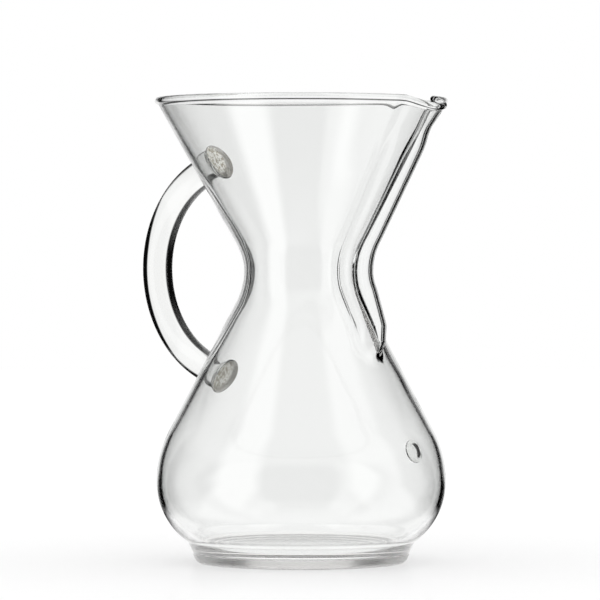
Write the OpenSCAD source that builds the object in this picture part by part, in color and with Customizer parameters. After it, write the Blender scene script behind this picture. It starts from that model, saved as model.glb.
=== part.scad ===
// Hourglass pour-over coffee maker of clear blown glass, with a solid glass handle.
// It stands on its foot at z = 0, on the vessel's axis. The pouring channel faces +X and the handle -X.

/* [Vessel outline] */
// Height of the rim's top above the table
height = 211.3; // [195:0.1:230]
// Outer radius over the rounded rim
rim_r = 66.7; // [60:0.1:75]
// Radius of the rounded bead along the rim
rim_bead_r = 2.15; // [1.6:0.05:2.6]
// Height of the narrowest place, as a share of the height
waist_share = 0.6266; // [0.6:0.0001:0.65]
// Outer radius at the narrowest place
waist_r = 26; // [22:0.1:30]
// Bend radius of the outline from the waist up into the funnel
waist_upper_bend_r = 24; // [18:0.5:32]
// Bend radius of the outline from the waist down into the cone
waist_lower_bend_r = 29; // [22:0.5:36]
// Height of the widest place of the bulb
belly_z = 36.7; // [34.5:0.1:40]
// Outer radius at the widest place of the bulb
belly_r = 65.8; // [61:0.1:72]
// Bend radius of the outline above the widest place
belly_upper_bend_r = 50; // [44:0.5:56]
// Bend radius of the outline below the widest place
belly_lower_bend_r = 33; // [31:0.1:34]

/* [Foot] */
// Slope of the outline where the bulb ends above the foot, from upright
heel_deg = 54; // [50:1:58]
// Radius of the hollow bend between bulb and foot
heel_fillet_r = 3; // [2:0.1:3.6]
// Lean of the foot's side, from upright
foot_lean_deg = 22; // [16:1:26]
// Radius of the foot's lower edge
foot_edge_r = 3; // [2:0.1:3.6]
// Width of the flat ring that stands on the table
foot_ring_w = 4.5; // [3:0.1:8]
// Height of the shallow hollow under the foot
punt_h = 1.2; // [0.6:0.1:2]

/* [Glass wall] */
// Wall at the rim
rim_wall = 1.7; // [1.4:0.05:2.4]
// Wall at the waist
waist_wall = 3.9; // [3:0.1:5]
// Wall of the bulb
belly_wall = 2.2; // [1.8:0.05:3]
// Wall at the hollow bend above the foot
heel_wall = 2.6; // [2:0.1:3.2]
// Height of the inner floor above the table
floor_z = 5; // [4:0.1:6]
// Radius between the inner floor and the wall
floor_edge_r = 4; // [2.5:0.1:5]
// Lean of the inner wall above the floor, from upright
floor_lean_deg = 35; // [30:1:42]

/* [Pouring channel] */
// How far the channel stands out of the waist
channel_out = 13; // [11:0.1:14]
// Outer radius of the channel at the waist
channel_r = 8.35; // [7.6:0.05:9]
// Bend radius of the channel's centre line above the waist
channel_upper_bend_r = 29.3; // [26:0.1:34]
// Bend radius of the channel's centre line below the waist
channel_lower_bend_r = 19.5; // [17:0.1:24]
// How much steeper than the funnel the channel runs
channel_closing_deg = 1.2; // [0.6:0.1:2]
// How much steeper than the lower cone the channel runs
channel_fading_deg = 5.7; // [4:0.1:7]
// Outer radius of the channel at the lip
lip_r = 11.2; // [10:0.1:12.2]
// How steeply the lip's edge drops outwards
lip_drop_deg = 18; // [12:1:24]
// Height from the waist down to the centre of the channel's round end
channel_drop = 26.4; // [23:0.1:29]
// Outer radius of the channel's round end
channel_end_r = 7.5; // [6.8:0.1:8.2]
// Wall of the channel
channel_wall = 2.3; // [1.9:0.05:2.7]

/* [Handle] */
// Diameter of the solid rod
rod_d = 13.8; // [11:0.1:15.5]
// Height of the middle of the handle above the waist
handle_rise = 1; // [-2:0.1:4]
// Distance from the vessel's axis to the middle of the rod
handle_reach = 85.2; // [80:0.1:90]
// Bend radius of the rod's centre line, as a share of the height
handle_bend_share = 0.23474; // [0.21:0.0001:0.245]
// Radius of the round pad that fuses the rod to the wall
pad_r = 8.6; // [8.3:0.1:9.6]
// Height of the pad above the wall
pad_h = 4.6; // [3.8:0.1:6]
// Height of the pad's upright edge
pad_edge_h = 1.6; // [1:0.1:2]
// How much wider than the rod the pad is where they meet
pad_shoulder = 0.5; // [0.4:0.1:0.8]

/* [Fill mark] */
// Height of the fill mark's centre
mark_z = 52.2; // [47:0.1:56]
// Radius of the round fill mark
mark_r = 5.25; // [4:0.05:6.5]
// How far the fill mark stands out of the bulb
mark_h = 1.8; // [1.2:0.1:2.4]
// Radius of the fill mark's domed face
mark_dome_r = 12; // [10:0.5:16]

/* [Hidden] */
$fn = 288;
glass = [0.86, 0.9, 0.9, 0.5];
rod_glass = [0.78, 0.84, 0.85, 0.7];
pad_glass = [0.9, 0.9, 0.84, 0.8];

// Straight pieces in each bend of an outline
bend_steps = 10;
// How far a cutting body runs past what it cuts
overrun = 1;
// How much narrower a straight stretch of the channel starts, inside the end of its bend
seam_step = 0.12;
// Share of the channel's inner radius that its slot into the vessel keeps
slot_share = 0.94;
// How far the slot reaches from the channel's centre line into the vessel
slot_depth = channel_r + waist_wall + overrun;

// Point at an angle on a circle, and the points of an arc
function polar(centre, r, deg) = centre + r * [cos(deg), sin(deg)];
function bend(centre, r, from_deg, to_deg, steps) =
    [for (i = [0:steps]) polar(centre, r, from_deg + (to_deg - from_deg) * i / steps)];
// Angle of the normal of a line that lies a given distance beyond one point along that normal
function normal_deg(span, distance, side) =
    atan2(span[1], span[0]) + side * acos(distance / norm(span));

// Heights and bends that go with the height
waist_z = waist_share * height;
handle_z = waist_z + handle_rise;
handle_bend_r = handle_bend_share * height;

// Centres of the outline's bends
belly_upper_c = [belly_r - belly_upper_bend_r, belly_z];
belly_lower_c = [belly_r - belly_lower_bend_r, belly_z];
waist_upper_c = [waist_r + waist_upper_bend_r, waist_z];
waist_lower_c = [waist_r + waist_lower_bend_r, waist_z];
bead_c = [rim_r - rim_bead_r, height - rim_bead_r];
heel_c = polar(belly_lower_c, belly_lower_bend_r + heel_fillet_r, -heel_deg);

// Normals of the two straight stretches, outside and inside
cone_deg = normal_deg(waist_lower_c - belly_upper_c, belly_upper_bend_r + waist_lower_bend_r, -1);
cone_in_deg = normal_deg(waist_lower_c - belly_upper_c,
    belly_upper_bend_r - belly_wall + waist_lower_bend_r + waist_wall, -1);
funnel_deg = normal_deg(waist_upper_c - bead_c, waist_upper_bend_r + rim_wall / 2, 1);
funnel_in_deg = normal_deg(waist_upper_c - bead_c,
    waist_upper_bend_r + waist_wall - rim_wall / 2, 1);

// Foot: side line through the hollow bend, and the edge that rounds into the flat ring
foot_side = polar(heel_c, heel_fillet_r, 180 - foot_lean_deg);
foot_edge_c = [
    foot_side[0] - (foot_edge_r + (foot_side[1] - foot_edge_r) * sin(foot_lean_deg)) / cos(foot_lean_deg),
    foot_edge_r
];
foot_r = foot_edge_c[0];
ring_in_r = foot_r - foot_ring_w;
punt_r = (ring_in_r * ring_in_r + punt_h * punt_h) / (2 * punt_h);
punt_deg = asin(ring_in_r / punt_r);

// Inner floor: the same side line for the inner wall
floor_side = polar(heel_c, heel_fillet_r + heel_wall, 180 - floor_lean_deg);
floor_edge_c = [
    floor_side[0]
        - (floor_edge_r + (floor_side[1] - floor_z - floor_edge_r) * sin(floor_lean_deg)) / cos(floor_lean_deg),
    floor_z + floor_edge_r
];

// Outer outline, from the hollow under the foot up to the middle of the rim's bead
outer_points = concat(
    bend([0, punt_h - punt_r], punt_r, 90, 90 - punt_deg, bend_steps / 2),
    bend(foot_edge_c, foot_edge_r, -90, -foot_lean_deg, bend_steps),
    bend(heel_c, heel_fillet_r, 180 - foot_lean_deg, 180 - heel_deg, bend_steps / 2),
    bend(belly_lower_c, belly_lower_bend_r, -heel_deg, 0, bend_steps),
    bend(belly_upper_c, belly_upper_bend_r, cone_deg / bend_steps, cone_deg, bend_steps),
    bend(waist_lower_c, waist_lower_bend_r, 180 + cone_deg, 180, bend_steps),
    bend(waist_upper_c, waist_upper_bend_r, 180 + funnel_deg / bend_steps, 180 + funnel_deg, bend_steps),
    [polar(bead_c, rim_wall / 2, funnel_deg), [0, bead_c[1]]]
);

// Inner outline, from the axis on the floor up past the rim
rim_in = polar(bead_c, rim_wall / 2, 180 + funnel_in_deg);
mouth_z = height + overrun;
inner_points = concat(
    [[0, floor_z]],
    bend(floor_edge_c, floor_edge_r, -90, -floor_lean_deg, bend_steps),
    bend(heel_c, heel_fillet_r + heel_wall, 180 - floor_lean_deg, 180 - heel_deg, bend_steps / 2),
    bend(belly_lower_c, belly_lower_bend_r - belly_wall, -heel_deg, 0, bend_steps),
    bend(belly_upper_c, belly_upper_bend_r - belly_wall, cone_in_deg / bend_steps, cone_in_deg, bend_steps),
    bend(waist_lower_c, waist_lower_bend_r + waist_wall, 180 + cone_in_deg, 180, bend_steps),
    bend(waist_upper_c, waist_upper_bend_r + waist_wall,
        180 + funnel_in_deg / bend_steps, 180 + funnel_in_deg, bend_steps),
    [rim_in, rim_in + (mouth_z - rim_in[1]) * [-tan(funnel_in_deg), 1], [0, mouth_z]]
);

// Solid of the whole outer outline
module outer_body() {
    rotate_extrude() polygon(outer_points);
}

// Ring of the fire-polished rim
module rim_bead() {
    rotate_extrude() translate(bead_c) circle(r = rim_bead_r);
}

// Space inside the vessel, open at the top
module cavity() {
    rotate_extrude() difference() {
        polygon(inner_points);
        translate(bead_c) circle(r = rim_bead_r);
    }
}

// Channel: where its centre line bends and how far its straight ends run
channel_x = waist_r + channel_out - channel_r;
channel_up_deg = -funnel_deg - channel_closing_deg;
channel_down_deg = cone_deg - channel_fading_deg;
channel_upper_c = [channel_x + channel_upper_bend_r, waist_z];
channel_lower_c = [channel_x + channel_lower_bend_r, waist_z];
lip_n = [sin(lip_drop_deg), cos(lip_drop_deg)];
channel_up_n = [sin(channel_up_deg), cos(channel_up_deg)];
channel_down_n = [sin(channel_down_deg), -cos(channel_down_deg)];
channel_up_start = polar(channel_upper_c, channel_upper_bend_r, 180 - channel_up_deg)
    - overrun * channel_up_n;
channel_down_start = polar(channel_lower_c, channel_lower_bend_r, 180 + channel_down_deg)
    - overrun * channel_down_n;
channel_down_l = (channel_down_start[1] - waist_z + channel_drop) / cos(channel_down_deg);
channel_up_l = (bead_c - channel_up_start) * lip_n / (channel_up_n * lip_n);
lip_c = channel_up_start + channel_up_l * channel_up_n;
// Past the lip's edge the straight end runs on, at the same taper, so that the edge can be cut to its slope
channel_over_l = channel_up_l + lip_r;
lip_taper = (lip_r - channel_r + seam_step) / channel_up_l;

// Lays a body whose length is along Z onto the centre line, from a point of it, leaning outwards
module along(start, lean_deg) {
    translate([start[0], 0, start[1]]) rotate([0, lean_deg, 0]) children();
}

// Straight upper stretch, from radius r inside the waist's bend, widening towards the lip
module upper_stretch(r) {
    along(channel_up_start, channel_up_deg)
        cylinder(r1 = r, r2 = r + lip_taper * channel_over_l, h = channel_over_l);
}

// Straight lower stretch, a cone with a round end
module lower_stretch(r, end_r) {
    along(channel_down_start, 180 - channel_down_deg)
        rotate_extrude() polygon(concat(
            [[0, 0], [r, 0]],
            bend([0, channel_down_l], end_r, 0, 90, bend_steps)
        ));
}

// Bend of the channel, down from the waist: what is drawn lies on the centre line, vessel side towards +X
module channel_bend(bend_r, turn_deg) {
    rotate([90, 0, 0]) rotate_extrude(start = 180, angle = turn_deg) translate([bend_r, 0]) children();
}

// Both bends at the waist, the upper one upside down
module waist_bends() {
    translate([channel_upper_c[0], 0, waist_z]) mirror([0, 0, 1])
        channel_bend(channel_upper_bend_r, channel_up_deg) children();
    translate([channel_lower_c[0], 0, waist_z])
        channel_bend(channel_lower_bend_r, channel_down_deg) children();
}

// Round channel along its whole centre line
module channel(r, end_r) {
    upper_stretch(r - seam_step);
    lower_stretch(r - seam_step, end_r);
    waist_bends() circle(r = r);
}

// Slot that joins the channel's bore to the vessel's inside, all along
module channel_slot(r, end_r) {
    half_bend = slot_share * r;
    half = half_bend - seam_step;
    half_over = half + slot_share * lip_taper * channel_over_l;
    waist_bends() translate([0, -half_bend]) square([slot_depth, 2 * half_bend]);
    along(channel_up_start, channel_up_deg) rotate([0, -90, 0]) linear_extrude(height = slot_depth)
        polygon([[0, -half], [channel_over_l, -half_over], [channel_over_l, half_over], [0, half]]);
    along(channel_down_start, 180 - channel_down_deg) rotate([0, 90, 0]) mirror([1, 0, 0])
        linear_extrude(height = slot_depth) polygon(concat(
            [[0, half], [0, -half]],
            bend([channel_down_l, 0], slot_share * end_r, -90, 90, bend_steps)
        ));
}

// Everything above the sloping plane of the lip's edge
module above_lip() {
    side = 2 * (rim_r + lip_r);
    along(bead_c, lip_drop_deg) translate([-side / 2, -side / 2, 0]) cube(side);
}

// Bead that carries the rim round the lip's edge
lip_mid_r = lip_r - channel_wall / 2;
lip_turn_deg = 180 + 2 * asin((lip_c[0] - bead_c[0]) / lip_mid_r);
module lip_bead() {
    along(lip_c, lip_drop_deg)
        rotate_extrude(start = -lip_turn_deg / 2, angle = lip_turn_deg)
        translate([lip_mid_r, 0]) circle(r = rim_bead_r);
}

module vessel() {
    color(glass) union() {
        difference() {
            union() {
                outer_body();
                rim_bead();
                difference() {
                    channel(channel_r, channel_end_r);
                    above_lip();
                }
            }
            cavity();
            channel(channel_r - channel_wall, channel_end_r - channel_wall);
            channel_slot(channel_r - channel_wall, channel_end_r - channel_wall);
        }
        lip_bead();
    }
}

// Handle: where its centre line meets the two straight stretches of the wall
rod_r = rod_d / 2;
handle_c = [handle_reach - handle_bend_r, handle_z];
// Point on a wall line, given by a point and its normal, that the handle's centre line passes
function wall_hit(point, n_deg, side) =
    let (n = [cos(n_deg), sin(n_deg)], gap = (handle_c - point) * n)
    polar(handle_c, handle_bend_r, n_deg + side * acos(-gap / handle_bend_r));
upper_seat = wall_hit(polar(waist_upper_c, waist_upper_bend_r, 180 + funnel_deg), funnel_deg, 1);
lower_seat = wall_hit(polar(waist_lower_c, waist_lower_bend_r, 180 + cone_deg), cone_deg, -1);
upper_end_deg = atan2(upper_seat[1] - handle_c[1], upper_seat[0] - handle_c[0]);
lower_end_deg = atan2(lower_seat[1] - handle_c[1], lower_seat[0] - handle_c[0]);
rod_over_deg = overrun / handle_bend_r * 180 / PI;

// Pad on the wall's normal at its seat: an upright edge, then a curved neck in to the rod
module pad_body(seat, n_deg) {
    neck_r = rod_r + pad_shoulder;
    neck_w = pad_r - neck_r;
    neck_h = pad_h - pad_edge_h;
    root = rim_bead_r + overrun;
    mirror([1, 0, 0]) along(seat, 90 - n_deg) rotate_extrude() polygon(concat(
        [[0, -root], [pad_r, -root], [pad_r, pad_edge_h]],
        [for (i = [1:bend_steps / 2]) [
            neck_r + neck_w * (1 - sin(i * 180 / bend_steps)),
            pad_h - neck_h * cos(i * 180 / bend_steps)
        ]],
        [[0, pad_h]]
    ));
}

module handle_rod() {
    color(rod_glass) difference() {
        mirror([1, 0, 0]) translate([handle_c[0], 0, handle_c[1]]) rotate([90, 0, 0])
            rotate_extrude(
                start = lower_end_deg - rod_over_deg,
                angle = upper_end_deg - lower_end_deg + 2 * rod_over_deg
            )
            translate([handle_bend_r, 0]) circle(r = rod_r);
        pad_body(upper_seat, funnel_deg);
        pad_body(lower_seat, cone_deg);
        outer_body();
    }
}

module upper_weld_pad() {
    color(pad_glass) difference() {
        pad_body(upper_seat, funnel_deg);
        outer_body();
    }
}

module lower_weld_pad() {
    color(pad_glass) difference() {
        pad_body(lower_seat, cone_deg);
        outer_body();
    }
}

// Fill mark on the bulb's outline, on its normal
mark_deg = asin((mark_z - belly_z) / belly_upper_bend_r);
mark_seat = polar(belly_upper_c, belly_upper_bend_r, mark_deg);
module fill_mark_button() {
    color(pad_glass) difference() {
        along(mark_seat, 90 - mark_deg) rotate_extrude() polygon(concat(
            [[0, -overrun], [mark_r, -overrun]],
            bend([0, mark_h - mark_dome_r], mark_dome_r, acos(mark_r / mark_dome_r), 90, bend_steps)
        ));
        outer_body();
    }
}

vessel();
handle_rod();
upper_weld_pad();
lower_weld_pad();
fill_mark_button();
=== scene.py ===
import math

import bpy
import numpy as np
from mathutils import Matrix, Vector


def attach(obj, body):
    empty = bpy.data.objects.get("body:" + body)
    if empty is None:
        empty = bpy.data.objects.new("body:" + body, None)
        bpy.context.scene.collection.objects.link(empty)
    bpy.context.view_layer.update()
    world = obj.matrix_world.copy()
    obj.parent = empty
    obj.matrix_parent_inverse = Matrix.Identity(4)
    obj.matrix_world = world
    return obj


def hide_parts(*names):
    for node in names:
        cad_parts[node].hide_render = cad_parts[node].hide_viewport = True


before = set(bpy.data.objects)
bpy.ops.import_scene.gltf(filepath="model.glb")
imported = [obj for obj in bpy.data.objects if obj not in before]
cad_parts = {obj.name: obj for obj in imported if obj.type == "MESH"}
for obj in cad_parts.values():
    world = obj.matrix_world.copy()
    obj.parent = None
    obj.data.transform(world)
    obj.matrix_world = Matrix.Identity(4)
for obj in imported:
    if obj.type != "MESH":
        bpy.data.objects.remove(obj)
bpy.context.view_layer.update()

# Camera: it stands 1.86 m from the coffee maker's axis and 142 mm above the table, turned 38 degrees from
# the side, so that the pouring lip points right and forwards. It looks down by less than a degree.
VIEW_TURN = math.radians(38)
CAMERA_DISTANCE = 1.860
CAMERA_HEIGHT = 0.142
FOCAL_PIXELS = 4088
PICTURE_PIXELS = 600
HORIZON_ROW = 250
AXIS_COLUMN = 301.2

camera = bpy.data.cameras.new("camera")
camera.sensor_width = 36
camera.lens = camera.sensor_width * FOCAL_PIXELS / PICTURE_PIXELS
camera_stand = bpy.data.objects.new("camera", camera)
bpy.context.scene.collection.objects.link(camera_stand)
bpy.context.scene.camera = camera_stand
to_camera = Vector((math.sin(VIEW_TURN), -math.cos(VIEW_TURN), 0))
to_right = Vector((math.cos(VIEW_TURN), math.sin(VIEW_TURN), 0))
pixel = CAMERA_DISTANCE / FOCAL_PIXELS
camera_stand.location = CAMERA_DISTANCE * to_camera + Vector((0, 0, CAMERA_HEIGHT))
aim = (PICTURE_PIXELS / 2 - AXIS_COLUMN) * pixel * to_right
aim.z = CAMERA_HEIGHT - (PICTURE_PIXELS / 2 - HORIZON_ROW) * pixel
camera_stand.rotation_euler = (aim - camera_stand.location).to_track_quat("-Z", "Y").to_euler()

# Vessel: one blown wall of clear borosilicate glass, with a fire-polished rim, a channel pressed out of the
# wall from the lip to below the waist, and a thick foot. Sizes are in millimetres, as in the CAD model.
MM = 0.001
height, rim_r = 211.3, 66.7
waist_z, waist_r, waist_upper_bend_r, waist_lower_bend_r = 132.4, 26, 24, 29
belly_z, belly_r, belly_upper_bend_r, belly_lower_bend_r = 36.7, 65.8, 50, 33
heel_deg, heel_fillet_r, foot_lean_deg, foot_edge_r, foot_ring_w, punt_h = 54, 3, 22, 3, 4.5, 1.2
rim_wall, waist_wall, belly_wall, heel_wall, channel_wall, seam_wall = 1.25, 3.4, 2.2, 2.6, 1.5, 1.1
bead_r, bead_inset, bead_out = 1.5, 0.1, 0.85
floor_z, floor_edge_r, floor_lean_deg = 5, 8, 35
ring_edge, ring_edge_dip = 0.4, 0.03


def polar(centre, radius, deg):
    """Point of the outline's plane at a distance and direction from another."""
    return np.array([centre[0] + radius * math.cos(math.radians(deg)),
                     centre[1] + radius * math.sin(math.radians(deg))])


def bend(centre, radius, start, stop, count):
    """Points of an arc in the outline's plane, with its two ends."""
    return np.array([polar(centre, radius, a) for a in np.linspace(start, stop, count)])


def stretch(a, b, count):
    """Points of a straight stretch, without its two ends."""
    share = np.linspace(0, 1, count + 2)[1:-1, None]
    return a + (b - a) * share


def normal_deg(span, distance, side):
    """Direction square to the line that passes one end of a span and stays a distance from the other."""
    return math.degrees(math.atan2(span[1], span[0]) + side * math.acos(distance / math.hypot(*span)))


belly_upper_c = np.array([belly_r - belly_upper_bend_r, belly_z])
belly_lower_c = np.array([belly_r - belly_lower_bend_r, belly_z])
waist_upper_c = np.array([waist_r + waist_upper_bend_r, waist_z])
waist_lower_c = np.array([waist_r + waist_lower_bend_r, waist_z])
bead_c = np.array([rim_r - bead_r - bead_inset, height - bead_r - bead_inset])
heel_c = polar(belly_lower_c, belly_lower_bend_r + heel_fillet_r, -heel_deg)
cone_deg = normal_deg(waist_lower_c - belly_upper_c, belly_upper_bend_r + waist_lower_bend_r, -1)
funnel_deg = normal_deg(waist_upper_c - bead_c, waist_upper_bend_r + bead_out, 1)
foot_side = polar(heel_c, heel_fillet_r, 180 - foot_lean_deg)
lean = math.radians(foot_lean_deg)
foot_r = foot_side[0] - (foot_edge_r + (foot_side[1] - foot_edge_r) * math.sin(lean)) / math.cos(lean)
foot_edge_c = np.array([foot_r, foot_edge_r])
ring_in_r = foot_r - foot_ring_w
floor_side = polar(heel_c, heel_fillet_r + heel_wall, 180 - floor_lean_deg)
lean = math.radians(floor_lean_deg)
floor_edge_h = floor_side[1] - floor_z - floor_edge_r
floor_edge_c = np.array([floor_side[0] - (floor_edge_r + floor_edge_h * math.sin(lean)) / math.cos(lean),
                         floor_z + floor_edge_r])

# Foot of the outline, from the middle of the hollow under it up to the bulb
foot_rows = np.vstack((
    [[r, punt_h * (1 - (r / ring_in_r) ** 2)] for r in np.linspace(0, ring_in_r, 14)[1:-1]],
    [[ring_in_r - ring_edge, ring_edge_dip], [ring_in_r, 0], [ring_in_r + ring_edge, 0],
     [foot_r - ring_edge, 0]],
    bend(foot_edge_c, foot_edge_r, -90, -foot_lean_deg, 9),
    stretch(polar(foot_edge_c, foot_edge_r, -foot_lean_deg), foot_side, 2),
    bend(heel_c, heel_fillet_r, 180 - foot_lean_deg, 180 - heel_deg, 7)[:-1]))
# Blown wall above it, with the wall's thickness at every row. The rows stand close where the channel ends.
cone_low = polar(belly_upper_c, belly_upper_bend_r, cone_deg)
cone_high = polar(waist_lower_c, waist_lower_bend_r, 180 + cone_deg)
funnel_low = polar(waist_upper_c, waist_upper_bend_r, 180 + funnel_deg)
bead_sink = math.sqrt(bead_r ** 2 - rim_wall ** 2 / 4)
funnel_high = polar(bead_c, rim_wall / 2, funnel_deg) - bead_sink * np.array(
    [math.sin(math.radians(-funnel_deg)), math.cos(math.radians(funnel_deg))])
dense_from, dense_to = 0.56, 0.83
channel_foot = cone_low + (cone_high - cone_low) * dense_from
channel_end = cone_low + (cone_high - cone_low) * dense_to
wall_rows = np.vstack((
    bend(belly_lower_c, belly_lower_bend_r, -heel_deg, 0, 20),
    bend(belly_upper_c, belly_upper_bend_r, 0, cone_deg, 14)[1:],
    stretch(cone_low, channel_foot, 18), [channel_foot],
    stretch(channel_foot, channel_end, 26), [channel_end],
    stretch(channel_end, cone_high, 8),
    bend(waist_lower_c, waist_lower_bend_r, 180 + cone_deg, 180, 12),
    bend(waist_upper_c, waist_upper_bend_r, 180, 180 + funnel_deg, 12)[1:],
    stretch(funnel_low, funnel_high, 46), [funnel_high]))
heel_wall_z, belly_wall_z = belly_z - 27, belly_z - 15
wall_at = np.interp(
    wall_rows[:, 1],
    [heel_wall_z, belly_wall_z, cone_low[1], cone_high[1], funnel_low[1], height],
    [heel_wall, belly_wall, belly_wall, waist_wall, waist_wall, rim_wall])

# Columns round the axis, close together at the channel
columns, fine_steps = 260, 7201
close_gain, close_deg, wide_gain, wide_deg = 7, 5, 3, 13
turn = np.radians(np.linspace(-180, 180, fine_steps))
closeness = (1 + close_gain * np.exp(-(turn / math.radians(close_deg)) ** 2)
             + wide_gain * np.exp(-(turn / math.radians(wide_deg)) ** 2))
share = np.concatenate(([0], np.cumsum((closeness[1:] + closeness[:-1]) / 2)))
column_turn = np.interp(np.arange(columns) / columns * share[-1], share, turn)

# Channel: its centre line and radius at a height, as bends and straight stretches. A tool pressed the small
# knuckle below the lip, and the lower end runs out straight into the cone.
channel_r, channel_out = 8.35, 13
channel_x = waist_r + channel_out - channel_r
channel_upper_bend_r, channel_lower_bend_r = 29.3, 19.5
channel_up_lag_deg, channel_down_lag_deg = 1.2, 5.7
channel_up = math.radians(-funnel_deg - channel_up_lag_deg)
channel_down = math.radians(cone_deg - channel_down_lag_deg)
lip_r, lip_drop = 10.9, math.radians(18.5)
channel_end_r, channel_end_z = 7.5, waist_z - 24.2
knuckle_z, knuckle_h, knuckle_depth = 195.5, 5.5, 1.7
end_slope, end_h = 0.5, 20
slant_low, slant_h = 6, 8
melt_r, lip_melt_r, lip_melt_z, lip_melt_h = 2.5, 8, 184, 24
up_bend_h = channel_upper_bend_r * math.sin(channel_up)
down_bend_h = channel_lower_bend_r * math.sin(channel_down)
lip_h = bead_c[1] - waist_z


def channel_at(z):
    """Centre, half length and half width of the channel's level section at a height."""
    up = z - waist_z
    down = -up
    bend_up = np.clip(up, 0, up_bend_h)
    bend_down = np.clip(down, 0, down_bend_h)
    x = (channel_x + channel_upper_bend_r - np.sqrt(channel_upper_bend_r ** 2 - bend_up ** 2)
         + channel_lower_bend_r - np.sqrt(channel_lower_bend_r ** 2 - bend_down ** 2)
         + np.clip(up - up_bend_h, 0, None) * math.tan(channel_up)
         + np.clip(np.minimum(down, waist_z - channel_end_z) - down_bend_h, 0, None)
         * math.tan(channel_down))
    r = (channel_r + (lip_r - channel_r) * np.clip((up - up_bend_h) / (lip_h - up_bend_h), 0, None)
         + (channel_end_r - channel_r)
         * np.clip((down - down_bend_h) / (waist_z - channel_end_z - down_bend_h), 0, 1))
    x = x - knuckle_depth * np.exp(-((z - knuckle_z) / knuckle_h) ** 2)
    tilt = np.where(up > 0, np.arcsin(bend_up / channel_upper_bend_r),
                    np.arcsin(bend_down / channel_lower_bend_r))
    x = x - end_slope * np.clip(channel_end_z - channel_end_r - z, 0, end_h)
    longer = 1 + (1 / np.cos(tilt) - 1) * np.clip((z - channel_end_z + slant_low) / slant_h, 0, 1)
    return x, r * longer, r


def wall_section(body_r, z, azimuth):
    """Points of the outer wall at a height, where the channel is melted on to the round body, and how much
    of the wall there is channel."""
    x, half_l, half_w = channel_at(z)
    plain = np.stack((body_r * np.cos(azimuth), body_r * np.sin(azimuth)))
    middle = (np.maximum(x - half_l, 0) + body_r) / 2
    dx, dy = plain[0] - middle, plain[1]
    reach = np.hypot(dx, dy)
    dx, dy = dx / reach, dy / reach
    safe_l, safe_w = np.maximum(half_l, 1e-3), np.maximum(half_w, 1e-3)
    a = (dx / safe_l) ** 2 + (dy / safe_w) ** 2
    b = dx * (middle - x) / safe_l ** 2
    c = ((middle - x) / safe_l) ** 2 - 1
    root = b ** 2 - a * c
    tube = np.where((root > 0) & (z > channel_end_z - channel_end_r - end_h),
                    (-b + np.sqrt(np.maximum(root, 0))) / a, -1)
    melt = melt_r + lip_melt_r * np.clip((z - lip_melt_z) / lip_melt_h, 0, 1)
    mix = np.clip(0.5 + 0.5 * (tube - reach) / melt, 0, 1)
    out = reach * (1 - mix) + tube * mix + melt * mix * (1 - mix)
    return middle + dx * out, dy * out, mix


# The rim dips along the lip, and the wall's rows below it follow more and more from settle_z up
drop_start, drop_soft, drop_turn, settle_z = 2.2, 2, 1, 172
rim_x = wall_section(np.full(columns, bead_c[0]), np.full(columns, bead_c[1]), column_turn)[0]
past_rim = rim_x - bead_c[0] - drop_start
rim_drop = math.tan(lip_drop) * 0.5 * (past_rim + np.sqrt(past_rim ** 2 + drop_soft ** 2))
rim_drop = rim_drop * (np.abs(column_turn) < drop_turn)
z_rows = wall_rows[:, 1][:, None]
settle = np.clip((z_rows - settle_z) / (bead_c[1] - settle_z), 0, None)
z_outer = z_rows - rim_drop * settle ** 2
upper_rows = wall_rows[wall_rows[:, 1] > belly_z - 0.01]
r_outer = np.where(z_rows > belly_z, np.interp(z_outer, upper_rows[:, 1], upper_rows[:, 0]),
                   wall_rows[:, 0][:, None])
turns = np.broadcast_to(column_turn, z_outer.shape)
x_outer, y_outer, mixed = wall_section(r_outer, z_outer, turns)
outer = np.stack((x_outer, y_outer, z_outer), axis=2)
# Inner face: the same wall, one thickness in. The wall is drawn thin beside the channel, between its lower
# end and the rim, and blowing leaves faint waves in it.
seam_reach, seam_fade_h, seam_top_z = 10, 20, 195
wave_share, wave_low_z, wave_fade_h = 0.004, 20, 20
along_rows = np.gradient(outer, axis=0)
ring = np.concatenate((outer[:, -1:], outer, outer[:, :1]), axis=1)
round_columns = ring[:, 2:] - ring[:, :-2]
inward = np.cross(along_rows, round_columns)
inward /= np.linalg.norm(inward, axis=2, keepdims=True)
beside_seam = np.clip(np.abs(column_turn) * r_outer - channel_at(z_outer)[2], 0, None)
drawn = np.exp(-(beside_seam / seam_reach) ** 2)
drawn = drawn * np.clip((z_outer - channel_end_z + seam_fade_h / 2) / seam_fade_h, 0, 1) ** 1.5
drawn = drawn * np.clip((seam_top_z - z_outer) / seam_fade_h, 0, 1)
wall = wall_at[:, None] * (1 - drawn) + np.minimum(wall_at, seam_wall)[:, None] * drawn
wall = wall * (1 - mixed) + np.minimum(wall_at, channel_wall)[:, None] * mixed
waves = (np.sin(z_outer / 4.1 + 2 * np.sin(2 * turns)) + np.sin(z_outer / 2.6 + 3 * turns + 1)
         + 0.7 * np.sin(z_outer / 7.3 - 2 * turns))
above_heel = np.clip((z_outer - wave_low_z) / wave_fade_h, 0, 1)
wall = wall * (1 + wave_share * waves * above_heel * (1 - mixed))
inner = outer + inward * wall[:, :, None]

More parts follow.
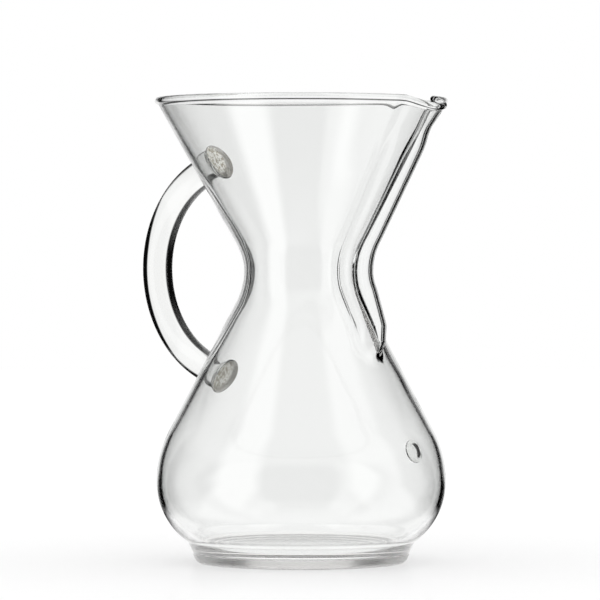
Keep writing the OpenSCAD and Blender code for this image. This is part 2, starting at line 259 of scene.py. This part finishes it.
# Rim: a round bead on the wall's upper edge
bead_steps = 17
top_middle = (outer[-1] + inner[-1]) / 2
below_middle = (outer[-3] + inner[-3]) / 2
across = outer[-1] - inner[-1]
across[:, 2] = 0
across /= np.linalg.norm(across, axis=1, keepdims=True)
upward = top_middle - below_middle
upward /= np.linalg.norm(upward, axis=1, keepdims=True)
bead_middle = top_middle + bead_sink * upward
wall_turn = np.arctan2(-upward[:, 2], -np.sum(upward * across, axis=1))
hold = math.asin(rim_wall / 2 / bead_r)
bead_rows = []
for step in range(1, bead_steps):
    angle = wall_turn + hold + (2 * math.pi - 2 * hold) * step / bead_steps
    bead_rows.append(bead_middle + bead_r * (np.cos(angle)[:, None] * across
                                             + np.sin(angle)[:, None] * np.array([0, 0, 1])))

# Inner floor, from the bulb's foot in to the axis
floor_steps = (38, 33, 27, 18, 9)
floor_rows = np.vstack((
    bend(heel_c, heel_fillet_r + heel_wall, 180 - heel_deg, 180 - floor_lean_deg, 6)[1:],
    stretch(floor_side, polar(floor_edge_c, floor_edge_r, -floor_lean_deg), 2),
    bend(floor_edge_c, floor_edge_r, -floor_lean_deg, -90, 8),
    [[r, floor_z] for r in floor_steps]))


def round_row(point):
    """A point of the outline, turned round the axis."""
    return np.stack((point[0] * np.cos(column_turn), point[0] * np.sin(column_turn),
                     np.full(columns, point[1])), axis=1)


def closed_skin(name, rows, first_pole, last_pole):
    """Mesh of closed rings of points between two end points, in metres, with smooth faces."""
    count = rows[0].shape[0]
    points = np.vstack([[first_pole]] + list(rows) + [[last_pole]]) * MM
    faces = []
    step = np.arange(count)
    after = (step + 1) % count
    for k in range(len(rows) - 1):
        low, high = 1 + k * count, 1 + (k + 1) * count
        faces += np.stack((low + step, low + after, high + after, high + step), axis=1).tolist()
    last = 1 + (len(rows) - 1) * count
    faces += [(0, 1 + b, 1 + a) for a, b in zip(step, after)]
    faces += [(len(points) - 1, last + a, last + b) for a, b in zip(step, after)]
    mesh = bpy.data.meshes.new(name)
    mesh.from_pydata(points.tolist(), [], faces)
    mesh.polygons.foreach_set("use_smooth", np.ones(len(mesh.polygons), bool))
    mesh.validate()
    piece = bpy.data.objects.new(name, mesh)
    bpy.context.scene.collection.objects.link(piece)
    return piece


vessel = closed_skin(
    "vessel_wall",
    [round_row(p) for p in foot_rows] + list(outer) + bead_rows + list(inner[::-1])
    + [round_row(p) for p in floor_rows],
    [0, 0, punt_h], [0, 0, floor_z])


class Tone:
    """A value in a material's node tree. Python sums on it add Math nodes."""

    def __init__(self, tree, socket):
        self.tree, self.socket = tree, socket

    def maths(self, operation, *values):
        node = self.tree.nodes.new("ShaderNodeMath")
        node.operation = operation
        for slot, value in zip(node.inputs, values):
            if isinstance(value, Tone):
                self.tree.links.new(value.socket, slot)
            else:
                slot.default_value = value
        return Tone(self.tree, node.outputs[0])

    def held(self):
        """The value, held between 0 and 1."""
        return self.maths("MINIMUM", self.maths("MAXIMUM", self, 0.0), 1.0)

    def __add__(self, other):
        return self.maths("ADD", self, other)

    def __radd__(self, other):
        return self.maths("ADD", other, self)

    def __sub__(self, other):
        return self.maths("SUBTRACT", self, other)

    def __rsub__(self, other):
        return self.maths("SUBTRACT", other, self)

    def __mul__(self, other):
        return self.maths("MULTIPLY", self, other)

    def __truediv__(self, other):
        return self.maths("DIVIDE", self, other)

    def __rtruediv__(self, other):
        return self.maths("DIVIDE", other, self)


class Finish:
    """A material, with one method that adds any node: its type, its settings, then its sockets."""

    def __init__(self, name, world=None):
        if world is None:
            self.material = bpy.data.materials.new(name)
            self.material.use_nodes = True
            self.tree = self.material.node_tree
            self.end = "ShaderNodeOutputMaterial"
        else:
            world.use_nodes = True
            self.tree = world.node_tree
            self.end = "ShaderNodeOutputWorld"
        self.tree.nodes.clear()

    def node(self, kind, settings=None, sockets=None, out=0):
        node = self.tree.nodes.new(kind)
        for key, value in (settings or {}).items():
            setattr(node, key, value)
        for key, value in (sockets or {}).items():
            if isinstance(value, Tone):
                self.tree.links.new(value.socket, node.inputs[key])
            else:
                node.inputs[key].default_value = value
        return Tone(self.tree, node.outputs[out]) if node.outputs else None

    def finish(self, shader):
        self.node(self.end, {}, {"Surface": shader})
        return self.tree


GLASS_IOR = 1.47


def glass_finish(name, tint, wave_size, wave_depth, stretch_z):
    """Clear fire-polished glass, with the faint waves that blowing or drawing leaves."""
    glass = Finish(name)
    place = glass.node("ShaderNodeTexCoord", out=3)
    turned = glass.node("ShaderNodeMapping", {}, {"Vector": place, "Scale": (1, 1, stretch_z)})
    waves = glass.node("ShaderNodeTexNoise", {}, {
        "Vector": turned, "Scale": 1 / wave_size, "Detail": 1.5, "Roughness": 0.45})
    relief = glass.node("ShaderNodeBump", {}, {
        "Strength": 1.0, "Distance": wave_depth, "Height": waves})
    glass.finish(glass.node("ShaderNodeBsdfPrincipled", {}, {
        "Base Color": tint, "Roughness": 0.0, "IOR": GLASS_IOR, "Transmission Weight": 1.0,
        "Normal": relief}))
    return glass.material


def soft_finish(name, tint, roughness, **more):
    """A plain finish without waves, for worn and scuffed places."""
    soft = Finish(name)
    soft.finish(soft.node("ShaderNodeBsdfPrincipled", {}, {
        "Base Color": tint, "Roughness": roughness, **more}))
    return soft.material


# The ring that stands on the table is scuffed matt, the edge round it is worn, and the inner floor is a
# little rippled, where the mould chilled it first
see_through = {"IOR": GLASS_IOR, "Transmission Weight": 1.0}
clear_tint = (0.985, 0.99, 0.985, 1)
wall_glass = glass_finish("wall_glass", clear_tint, 0.022, 0.000015, 0.5)
vessel.data.materials.append(wall_glass)
vessel.data.materials.append(soft_finish("scuffed_foot_ring", (0.95, 0.91, 0.87, 1), 0.6))
vessel.data.materials.append(soft_finish("worn_foot_edge", (0.98, 0.97, 0.95, 1), 0.3, **see_through))
vessel.data.materials.append(soft_finish("rippled_floor", clear_tint, 0.12, **see_through))
WALL, SCUFFED, WORN, RIPPLED = range(4)
worn_h, worn_w, flat_slack, edge_slack = 4.2, 2, 0.1, 0.3
for polygon in vessel.data.polygons:
    z, r = polygon.center.z, polygon.center.xy.length
    if z < flat_slack * MM and r > (ring_in_r - edge_slack) * MM:
        polygon.material_index = SCUFFED
    elif z < worn_h * MM and r > (foot_r - worn_w) * MM:
        polygon.material_index = WORN
    elif (floor_z - flat_slack) * MM < z < (floor_z + edge_slack) * MM and r < ring_in_r * MM:
        polygon.material_index = RIPPLED
    else:
        polygon.material_index = WALL
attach(vessel, "root")
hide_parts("vessel")

# Handle: drawn glass rod, 13.8 mm thick, bent to a C and melted on to the two pads. Geometry Nodes sweep
# the rod's section along its bend.
rod_r, handle_bend_r = 6.9, 49.6
handle_reach, handle_rise = 85.2, 1
handle_c = np.array([handle_reach - handle_bend_r, waist_z + handle_rise])
pad_h = 4.6


def wall_hit(point, deg, side):
    """Point of the handle's centre line on a straight stretch of the wall, from a point and its normal."""
    normal = polar((0, 0), 1, deg)
    gap = float(np.dot(handle_c - point, normal))
    return polar(handle_c, handle_bend_r, deg + side * math.degrees(math.acos(-gap / handle_bend_r)))


upper_seat = wall_hit(funnel_low, funnel_deg, 1)
lower_seat = wall_hit(cone_high, cone_deg, -1)
seat_turn = [math.degrees(math.atan2(*(seat - handle_c)[::-1])) for seat in (upper_seat, lower_seat)]
neck_deg = math.degrees(pad_h / handle_bend_r)
rod_from, rod_to = seat_turn[1] + neck_deg, seat_turn[0] - neck_deg

sweep = bpy.data.node_groups.new("bent_rod", "GeometryNodeTree")
sweep.interface.new_socket("Geometry", in_out="INPUT", socket_type="NodeSocketGeometry")
sweep.interface.new_socket("Geometry", in_out="OUTPUT", socket_type="NodeSocketGeometry")
for label in ("Bend radius", "Rod radius", "Start angle", "Sweep angle", "Reach", "Height"):
    sweep.interface.new_socket(label, in_out="INPUT", socket_type="NodeSocketFloat")
for label in ("Steps along", "Steps round"):
    sweep.interface.new_socket(label, in_out="INPUT", socket_type="NodeSocketInt")
sweep.interface.new_socket("Glass", in_out="INPUT", socket_type="NodeSocketMaterial")
given = sweep.nodes.new("NodeGroupInput")


def rod_node(kind, links, **settings):
    """A node of the rod's tree: its type, the values or links of its sockets, and its settings."""
    node = sweep.nodes.new(kind)
    for key, value in settings.items():
        setattr(node, key, value)
    for socket, source in links.items():
        if isinstance(source, bpy.types.NodeSocket):
            sweep.links.new(source, node.inputs[socket])
        else:
            node.inputs[socket].default_value = source
    return node


centre_line = rod_node("GeometryNodeCurveArc", {
    "Resolution": given.outputs["Steps along"], "Radius": given.outputs["Bend radius"],
    "Start Angle": given.outputs["Start angle"],
    "Sweep Angle": given.outputs["Sweep angle"]}, mode="RADIUS")
bend_middle = rod_node("ShaderNodeCombineXYZ", {
    "X": given.outputs["Reach"], "Z": given.outputs["Height"]})
stood_up = rod_node("GeometryNodeTransform", {
    "Geometry": centre_line.outputs["Curve"], "Translation": bend_middle.outputs[0],
    "Rotation": (math.pi / 2, 0, 0)})
section = rod_node("GeometryNodeCurvePrimitiveCircle", {
    "Resolution": given.outputs["Steps round"], "Radius": given.outputs["Rod radius"]}, mode="RADIUS")
swept = rod_node("GeometryNodeCurveToMesh", {
    "Curve": stood_up.outputs["Geometry"], "Profile Curve": section.outputs["Curve"],
    "Fill Caps": True})
real = rod_node("GeometryNodeRealizeInstances", {"Geometry": swept.outputs["Mesh"]})
dressed = rod_node("GeometryNodeSetMaterial", {
    "Geometry": real.outputs["Geometry"], "Material": given.outputs["Glass"]})
sweep_end = sweep.nodes.new("NodeGroupOutput")
sweep.links.new(dressed.outputs["Geometry"], sweep_end.inputs[0])

rod_tint = (0.975, 0.98, 0.97, 1)
rod_glass = glass_finish("rod_glass", rod_tint, 0.03, 0.00002, 1)
blank = bpy.data.objects.new("rod_blank", bpy.data.meshes.new("rod_blank"))
bpy.context.scene.collection.objects.link(blank)
sweeping = blank.modifiers.new("bent_rod", "NODES")
sweeping.node_group = sweep
sizes = {"Bend radius": handle_bend_r * MM, "Rod radius": rod_r * MM,
         "Start angle": math.radians(180 - rod_from), "Sweep angle": math.radians(rod_from - rod_to),
         "Reach": -handle_c[0] * MM, "Height": handle_c[1] * MM,
         "Steps along": 160, "Steps round": 64, "Glass": rod_glass}
for item in sweep.interface.items_tree:
    if item.in_out == "INPUT" and item.name in sizes:
        sweeping[item.identifier] = sizes[item.name]
shaped = blank.evaluated_get(bpy.context.evaluated_depsgraph_get())
rod_mesh = bpy.data.meshes.new_from_object(shaped)
rod_mesh.name = "handle_rod_glass"
bpy.data.objects.remove(blank)
rod = bpy.data.objects.new("handle_rod_glass", rod_mesh)
bpy.context.scene.collection.objects.link(rod)
rod_mesh.polygons.foreach_set("use_smooth", [len(p.vertices) == 4 for p in rod_mesh.polygons])
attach(rod, "root")
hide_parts("handle_rod")

# Weld pads: the rod's soft ends are pressed on to the wall with a ridged tool, which spreads each to a
# round pad. The pressed face keeps the tool's pebbled grain and shows through the vessel. It is frosted,
# with painted shade in dark speckles and a painted grey crescent.
pad_r, pad_edge_h, pad_edge_r, pad_shoulder = 8.6, 1.6, 0.5, 0.5
pad_columns, face_rings, edge_rings, neck_rings, lay_steps = 144, 24, 5, 12, 3
first_ring_r, face_dome, face_depth, face_margin, end_margin = 0.35, 0.1, 1.0, 0.4, 0.2
pebble_size, pebble_depth, pebble_end, pebble_fade, weld_gap = 1.25, 0.28, 0.55, 0.8, 0.03
pebble_scatter, pebble_low, pebble_reach = (0.15, 0.85), 0.5, 0.8
frost_up, frost_side, frost_r, frost_soft = 1.0, 2.4, 6.6, 1
grain_shift, speckle_soft, frost_share, crescent_frost_loss = 0.002, 0.06, 0.92, 0.25
FROSTED = 1
pad_turn = np.linspace(0, 2 * math.pi, pad_columns, endpoint=False)
cosine, sine = np.cos(pad_turn)[:, None], np.sin(pad_turn)[:, None]


def wall_distance(points, seat, deg):
    """How far points are out of a straight stretch of the round wall."""
    normal = polar((0, 0), 1, deg)
    away = np.hypot(points[:, 0], points[:, 1])
    return (away - seat[0]) * normal[0] + (points[:, 2] - seat[1]) * normal[1]


def pebbles(across, up, seed):
    """Height of the pebbled grain at places on a pad's face."""
    dice = np.random.default_rng(seed)
    side = int(2 * pad_r / pebble_size) + 2
    grid = (np.stack(np.meshgrid(np.arange(side), np.arange(side)), axis=-1).reshape(-1, 2)
            - side / 2 + dice.uniform(*pebble_scatter, (side * side, 2))) * pebble_size
    tall = dice.uniform(pebble_low, 1, side * side)
    away = np.hypot(across.reshape(-1, 1) - grid[:, 0], up.reshape(-1, 1) - grid[:, 1])
    near = away.argmin(axis=1)
    dome = np.sqrt(np.clip(1 - (away.min(axis=1) / (pebble_reach * pebble_size)) ** 2, 0, 1))
    return (pebble_depth * tall[near] * dome).reshape(across.shape)


def weld_finish(name, middle, patch_r):
    """Rod glass whose pressed face is frosted, with painted shade: dark speckles for the sparkle of its
    grain, and a grey crescent round that patch.
    """
    weld = Finish(name)
    place = weld.node("ShaderNodeTexCoord", out=3)
    centred = weld.node("ShaderNodeVectorMath", {"operation": "DISTANCE"}, {
        0: place, 1: tuple(middle * MM)}, out=1)
    grain = weld.node("ShaderNodeTexNoise", {}, {"Vector": place, "Scale": 700, "Detail": 2})
    painted_crescent = ((centred + (grain - 0.5) * grain_shift - (patch_r - frost_soft) * MM)
              / (2 * frost_soft * MM)).held()
    relief = weld.node("ShaderNodeBump", {}, {"Strength": 1.0, "Distance": 0.0001, "Height": grain})
    # Painted shade: dark speckles in the face's colour stand in for the shading and sparkle of the pebbled
    # grain
    speckle = weld.node("ShaderNodeTexNoise", {}, {"Vector": place, "Scale": 750, "Detail": 1})
    painted_pebble_shade = ((speckle - 0.5) / speckle_soft).held()
    painted_pebble_colour = weld.node("ShaderNodeMix", {"data_type": "RGBA"}, {
        0: painted_pebble_shade, 6: (0.99, 0.98, 0.95, 1), 7: (0.45, 0.41, 0.33, 1)}, out=2)
    # Painted shade: a grey crescent round the frosted patch, where the face is also less frosted
    painted_face_colour = weld.node("ShaderNodeMix", {"data_type": "RGBA"}, {
        0: painted_crescent, 6: painted_pebble_colour, 7: (0.38, 0.36, 0.33, 1)}, out=2)
    frosted = weld.node("ShaderNodeBsdfPrincipled", {}, {
        "Base Color": painted_face_colour, "Roughness": 0.35, "IOR": GLASS_IOR,
        "Transmission Weight": 0.15, "Normal": relief})
    clear = weld.node("ShaderNodeBsdfPrincipled", {}, {
        "Base Color": rod_tint, "Roughness": 0.05, "IOR": GLASS_IOR, "Transmission Weight": 1.0})
    weld.finish(weld.node("ShaderNodeMixShader", {}, {
        0: frost_share - painted_crescent * crescent_frost_loss, 1: clear, 2: frosted}))
    return weld.material


def weld_pad(name, node, seat, deg, rod_deg, seed):
    """A pad from its pressed face on the wall, over its rounded edge and neck, to the rod's end."""
    level = np.array([0, 1, 0])
    out = np.array([-polar((0, 0), 1, deg)[0], 0, polar((0, 0), 1, deg)[1]])
    up = np.cross(level, out)
    foot = np.array([-seat[0], 0, seat[1]])
    end_middle = polar(handle_c, handle_bend_r, rod_deg)
    end_middle = np.array([-end_middle[0], 0, end_middle[1]])
    radial = polar((0, 0), 1, rod_deg)
    end_up = np.array([-radial[0], 0, radial[1]])
    end_up = end_up * (1 if np.dot(end_up, up) > 0 else -1)
    end_out = np.cross(end_up, level)
    rows = []

    def on_wall(radius, lift):
        """A ring of points round the pad's middle, laid on the funnel or the cone."""
        flat = foot + radius * (cosine * up + sine * level)
        for _ in range(lay_steps):
            flat = flat - out * (wall_distance(flat, seat, deg)[:, None] - lift)
        return flat

    for radius in np.linspace(first_ring_r, pad_r - pebble_end, face_rings):
        edge_fade = min(1, (pad_r - pebble_end - radius) / pebble_fade)
        grain = pebbles(radius * cosine, radius * sine, seed) * edge_fade
        rows.append(on_wall(radius, weld_gap + grain))
    for angle in np.linspace(0, 90, edge_rings + 1)[1:]:
        rows.append(on_wall(pad_r - pad_edge_r + pad_edge_r * math.sin(math.radians(angle)),
                            weld_gap + pad_edge_r * (1 - math.cos(math.radians(angle)))))
    neck_r = rod_r + pad_shoulder
    for k in range(1, neck_rings + 1):
        share = k / neck_rings
        lift = pad_edge_h + (pad_h - pad_edge_h) * (1 - math.cos(share * math.pi / 2))
        radius = neck_r + (pad_r - neck_r) * (1 - math.sin(share * math.pi / 2))
        radius = radius - pad_shoulder * share ** 2
        turn_share = share ** 1.5
        side = up * (1 - turn_share) + end_up * turn_share
        middle = foot + out * lift
        middle = middle * (1 - turn_share) + (end_middle - (pad_h - lift) * end_out) * turn_share
        rows.append(middle + radius * (cosine * side + sine * level))
    for radius in (rod_r - end_margin, rod_r / 2):
        rows.append(end_middle + radius * (cosine * end_up + sine * level))
    middle_of_face = foot + out * (weld_gap + face_dome)
    pad = closed_skin(name, rows, middle_of_face, end_middle)
    pad.data.materials.append(rod_glass)
    patch = foot + frost_up * up - frost_side * level
    pad.data.materials.append(weld_finish(name + "_face", patch, frost_r))
    for polygon in pad.data.polygons:
        place = np.array(polygon.center) / MM
        on_face = abs(np.dot(place - foot, out)) < face_depth
        if on_face and np.linalg.norm(place - foot) < pad_r - face_margin:
            polygon.material_index = FROSTED
    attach(pad, "root")
    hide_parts(node)


weld_pad("upper_weld_pad_glass", "upper_weld_pad", upper_seat, funnel_deg, rod_to, 11)
weld_pad("lower_weld_pad_glass", "lower_weld_pad", lower_seat, cone_deg, rod_from, 23)

# Fill mark: a small button of hot glass set down on the bulb below the channel and pressed flat. The press
# leaves a low ridge round one side of it.
mark_z, mark_r, mark_h, mark_edge_r = 52.2, 5.25, 0.5, 0.2
mark_face_rings, mark_top_rings, mark_face_r, mark_top_r, mark_margin = 10, 18, 0.4, 0.3, 0.25
ridge_h, ridge_place, ridge_w = 0.9, 0.72, 0.2
mark_deg = math.degrees(math.asin((mark_z - belly_z) / belly_upper_bend_r))
mark_seat = polar(belly_upper_c, belly_upper_bend_r, mark_deg)
mark_out = np.array([polar((0, 0), 1, mark_deg)[0], 0, polar((0, 0), 1, mark_deg)[1]])
mark_side = np.array([0, 1, 0])
mark_up = np.cross(mark_out, mark_side)
mark_foot = np.array([mark_seat[0], 0, mark_seat[1]])


def bulb_distance(points):
    """How far points are out of the bulb's wall above its widest place."""
    away = np.hypot(points[:, 0], points[:, 1])
    return np.hypot(away - belly_upper_c[0], points[:, 2] - belly_upper_c[1]) - belly_upper_bend_r


def on_bulb(radius, lift):
    """A ring of points round the mark's middle, set down on the bulb."""
    flat = mark_foot + radius * (cosine * mark_up + sine * mark_side)
    for _ in range(lay_steps):
        flat = flat - mark_out * (bulb_distance(flat)[:, None] - lift)
    return flat


mark_rows = [on_bulb(radius, weld_gap)
             for radius in np.linspace(mark_face_r, mark_r - mark_margin, mark_face_rings)]
for angle in np.linspace(0, 90, edge_rings + 1)[1:]:
    mark_rows.append(on_bulb(mark_r - mark_edge_r + mark_edge_r * math.sin(math.radians(angle)),
                             weld_gap + mark_edge_r * (1 - math.cos(math.radians(angle)))))
for radius in np.linspace(mark_r, mark_top_r, mark_top_rings):
    ridge = ridge_h * math.exp(-((radius / mark_r - ridge_place) / ridge_w) ** 2)
    soft = mark_h + ridge * (0.5 + 0.5 * sine)
    mark_rows.append(mark_foot + mark_out * soft + radius * (cosine * mark_up + sine * mark_side))
# The mark sits on the vessel's other side from the pads, so its rows are turned round to face outwards
mark_rows = [row[::-1] for row in mark_rows]
fill_mark = closed_skin("fill_mark_glass", mark_rows, mark_foot + mark_out * weld_gap,
                        mark_foot + mark_out * mark_h)
fill_mark.data.materials.append(rod_glass)
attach(fill_mark, "root")
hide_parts("fill_mark_button")

# Studio: a pale table, a white screen behind, and black boards beside it, as glass is photographed. The
# boards show only in the glass, where they draw its dark edges, and so do the tall soft boxes in front.
# Each has its two edges in degrees round the axis, and the soft boxes their light too.
SCREENS = ((80, 99), (109, 147), (171, 194), (296, 334))
ROD_SCREENS = ((101, 153.5), (286, 344))
MIRROR_SCREEN = (108, 148)
SOFT_BOXES = ((238, 274, 1.2), (-13, 33, 1.0))
SIDE_LIGHTS = ((172, 222), (50, 84))
SCREEN_LIGHT, MIRROR_LIGHT, SIDE_LIGHT, BOARD_LIGHT = 0.98, 0.85, 0.6, 0.003
SCATTER_LIGHT, DEEP_SCATTER_LIGHT = 0.8, 1.5
SCREEN_TOP, SCREEN_FADE = 1.0, 0.3
SCREEN_SOFT, ROD_SCREEN_SOFT, MIRROR_SOFT, BOX_SOFT, SIDE_SOFT = 2, 4, 4, 10, 16
# Limits between the numbers of glass surfaces that light has passed, or been mirrored or scattered by
ONE_PIECE, MANY_WALLS, DEEP_WALLS, ANY_BOUNCE = 2.5, 3.5, 4.5, 0.5
TURN_START = 50.0
RING_RADIUS, RING_HEIGHT = 1.5, 3.6


def between(place, low, high, soft, widen=0.0):
    """1 where an angle in degrees lies between two others, with a soft edge."""
    rise = (place - low + widen) / soft + 0.5
    fall = (high - place + widen) / soft + 0.5
    return rise.held() * fall.held()


def lit_screens(around, spans, soft, widen=0.0):
    """1 where a direction meets one of several screens."""
    total = between(around, *spans[0], soft, widen)
    for span in spans[1:]:
        total = total + between(around, *span, soft, widen)
    return total.maths("MINIMUM", total, 1.0)


def studio_light(finish, x, y, z, widen=0.0, near=0.0):
    """What glass shows of the studio: screens straight through it, and soft boxes by reflection. Light
    that has passed one solid piece meets screens of its own, and side lights show behind many walls."""
    turned = x.maths("ARCTAN2", y, x) * (180 / math.pi)
    around = turned.maths("WRAP", turned, TURN_START + 360, TURN_START)
    passes = finish.node("ShaderNodeLightPath", out="Transmission Depth")
    one_piece = passes.maths("LESS_THAN", passes, ONE_PIECE)
    through = (lit_screens(around, SCREENS, SCREEN_SOFT, widen) * (1 - one_piece)
               + lit_screens(around, ROD_SCREENS, ROD_SCREEN_SOFT) * one_piece * (1 - near)) * SCREEN_LIGHT
    through = through * (1 - ((z - SCREEN_TOP) / SCREEN_FADE).held())
    mirrored = between(around, *MIRROR_SCREEN, MIRROR_SOFT) * MIRROR_LIGHT
    for low, high, light in SOFT_BOXES:
        low, high = (low, high) if low > TURN_START else (low + 360, high + 360)
        mirrored = mirrored + between(around, low, high, BOX_SOFT) * light
    many_walls = passes.maths("GREATER_THAN", passes, MANY_WALLS)
    for low, high in SIDE_LIGHTS:
        mirrored = mirrored + between(around, low, high, SIDE_SOFT) * many_walls * SIDE_LIGHT
    depth = finish.node("ShaderNodeLightPath", out="Glossy Depth")
    is_mirrored = depth.maths("GREATER_THAN", depth, ANY_BOUNCE)
    scatter = finish.node("ShaderNodeLightPath", out="Diffuse Depth")
    is_scattered = scatter.maths("GREATER_THAN", scatter, ANY_BOUNCE)
    direct = through * (1 - is_mirrored) + mirrored * is_mirrored + BOARD_LIGHT
    deep = passes.maths("GREATER_THAN", passes, DEEP_WALLS)
    scattered = is_scattered * (SCATTER_LIGHT + deep * DEEP_SCATTER_LIGHT)
    return direct * (1 - is_scattered) + scattered, is_mirrored


def place_on(finish):
    """The x, y and z of a point on a stage piece."""
    spot = finish.node("ShaderNodeTexCoord", out=3)
    split = finish.node("ShaderNodeSeparateXYZ", {}, {"Vector": spot})
    return [Tone(finish.tree, split.socket.node.outputs[k]) for k in range(3)]


ring_steps = 96
ring_turn = [2 * math.pi * k / ring_steps for k in range(ring_steps)]
ring_points = [(RING_RADIUS * math.cos(a), RING_RADIUS * math.sin(a), z)
               for z in (0.0, RING_HEIGHT) for a in ring_turn]
ring_faces = [(k, (k + 1) % ring_steps, (k + 1) % ring_steps + ring_steps, k + ring_steps)
              for k in range(ring_steps)]
ring_mesh = bpy.data.meshes.new("screens")
ring_mesh.from_pydata(ring_points, [], ring_faces)
screens = bpy.data.objects.new("screens", ring_mesh)
bpy.context.scene.collection.objects.link(screens)
cloth = Finish("screen_cloth")
cloth_light, _ = studio_light(cloth, *place_on(cloth))
cloth.finish(cloth.node("ShaderNodeEmission", {}, {"Strength": cloth_light}))
ring_mesh.materials.append(cloth.material)
screens.visible_camera = False
screens.visible_diffuse = False
screens.visible_shadow = False

# Table: the camera sees plain pale paper, with painted shade close to the foot, where it glows a little
# dimmer and has a faint gloss. Glass sees the table painted with light: pale paper under the foot, a
# painted grey ring round it, and farther out a painted copy of what the screens and boards throw on the
# table, the blurrier the closer to the foot.
TABLE_RADIUS = 3.0
# Painted shade on the table: the glow that the camera sees is dimmer close to the foot
TABLE_LIGHT, CLOSE_PAINTED_SHADE, CLOSE_GLOSS = 0.53, 0.07, 0.12
# Painted light of the table as glass sees it: pale under the foot, and a painted grey ring round it
UNDER_R, UNDER_SOFT, UNDER_LIGHT, UNDER_FOOT_LIGHT, UNDER_MIRROR_LOSS = 0.085, 0.03, 0.95, 0.25, 0.1
SKIRT_R, SKIRT_SOFT, SKIRT_LIGHT = 0.16, 0.04, 0.42
NEAR_R, NEAR_SOFT = 0.32, 0.1
CLOSE_R, CLOSE_SOFT, CLOSE_BLUR = 0.3, 0.2, 30
DRIFT, DRIFT_START = 3.5, 2.3
table_mesh = bpy.data.meshes.new("table")
table_mesh.from_pydata([(TABLE_RADIUS * math.cos(a), TABLE_RADIUS * math.sin(a), 0) for a in ring_turn],
                       [], [list(range(ring_steps))])
table = bpy.data.objects.new("table", table_mesh)
bpy.context.scene.collection.objects.link(table)
paper = Finish("table_top_painted_light")
x, y, z = place_on(paper)
away = x.maths("SQRT", x * x + y * y)
far = ((away - UNDER_R) / UNDER_SOFT).held()
near = ((NEAR_R - away) / NEAR_SOFT).held()
close = ((CLOSE_R - away) / CLOSE_SOFT).held()
drift = DRIFT / away - DRIFT_START
blur = drift.maths("MAXIMUM", drift, 0.0) + close * CLOSE_BLUR
# Painted light and shade: a copy of what the screens and boards throw on the table, blurred near the foot
light, by_mirror = studio_light(paper, x, y, z, blur, near)
painted_ring_light = ((SKIRT_R - away) / SKIRT_SOFT).held() * SKIRT_LIGHT
passes = paper.node("ShaderNodeLightPath", out="Transmission Depth")
by_foot = passes.maths("LESS_THAN", passes, ONE_PIECE)
# Painted light under the foot: brighter through the foot alone, dimmer where mirrored
under = UNDER_LIGHT + by_foot * UNDER_FOOT_LIGHT - by_mirror * UNDER_MIRROR_LOSS
painted_table_light = light.maths("MAXIMUM", light, painted_ring_light) * far + (1 - far) * under
from_camera = paper.node("ShaderNodeLightPath", out="Is Camera Ray")
from_diffuse = paper.node("ShaderNodeLightPath", out="Is Diffuse Ray")
# Painted shade: the camera's glow of the table drops close to the foot
to_camera_light = from_camera * (TABLE_LIGHT - close * CLOSE_PAINTED_SHADE)
to_glass_light = (1 - from_camera) * (1 - from_diffuse) * painted_table_light
glow = paper.node("ShaderNodeEmission", {}, {"Strength": to_camera_light + to_glass_light})
matt = paper.node("ShaderNodeBsdfDiffuse", {}, {"Color": (0.5, 0.5, 0.5, 1)})
gloss = paper.node("ShaderNodeBsdfGlossy", {}, {"Color": (1, 1, 1, 1), "Roughness": 0.12})
lit = paper.node("ShaderNodeMixShader", {}, {0: close * CLOSE_GLOSS, 1: matt, 2: gloss})
clear = paper.node("ShaderNodeBsdfTransparent", {}, {"Color": (0, 0, 0, 1)})
shown = paper.node("ShaderNodeMixShader", {}, {0: from_camera, 1: clear, 2: lit})
paper.finish(paper.node("ShaderNodeAddShader", {}, {0: glow, 1: shown}))
table_mesh.materials.append(paper.material)

# Air: the camera and the soft light on the pads see a white room, and what glass mirrors or bends past the
# screens' upper edge is dim.
AIR_IN_GLASS = 0.35
world = bpy.data.worlds.new("studio")
bpy.context.scene.world = world
air = Finish("studio_air", world)
camera_ray = air.node("ShaderNodeLightPath", out="Is Camera Ray")
diffuse_ray = air.node("ShaderNodeLightPath", out="Is Diffuse Ray")
glass_ray = (1 - camera_ray) * (1 - diffuse_ray)
air.finish(air.node("ShaderNodeBackground", {}, {
    "Color": (1, 1, 1, 1), "Strength": camera_ray + diffuse_ray + glass_ray * AIR_IN_GLASS}))

scene = bpy.context.scene
scene.view_settings.view_transform = "Standard"
scene.cycles.max_bounces = 32
scene.cycles.transmission_bounces = 32
scene.cycles.glossy_bounces = 16
scene.cycles.transparent_max_bounces = 16
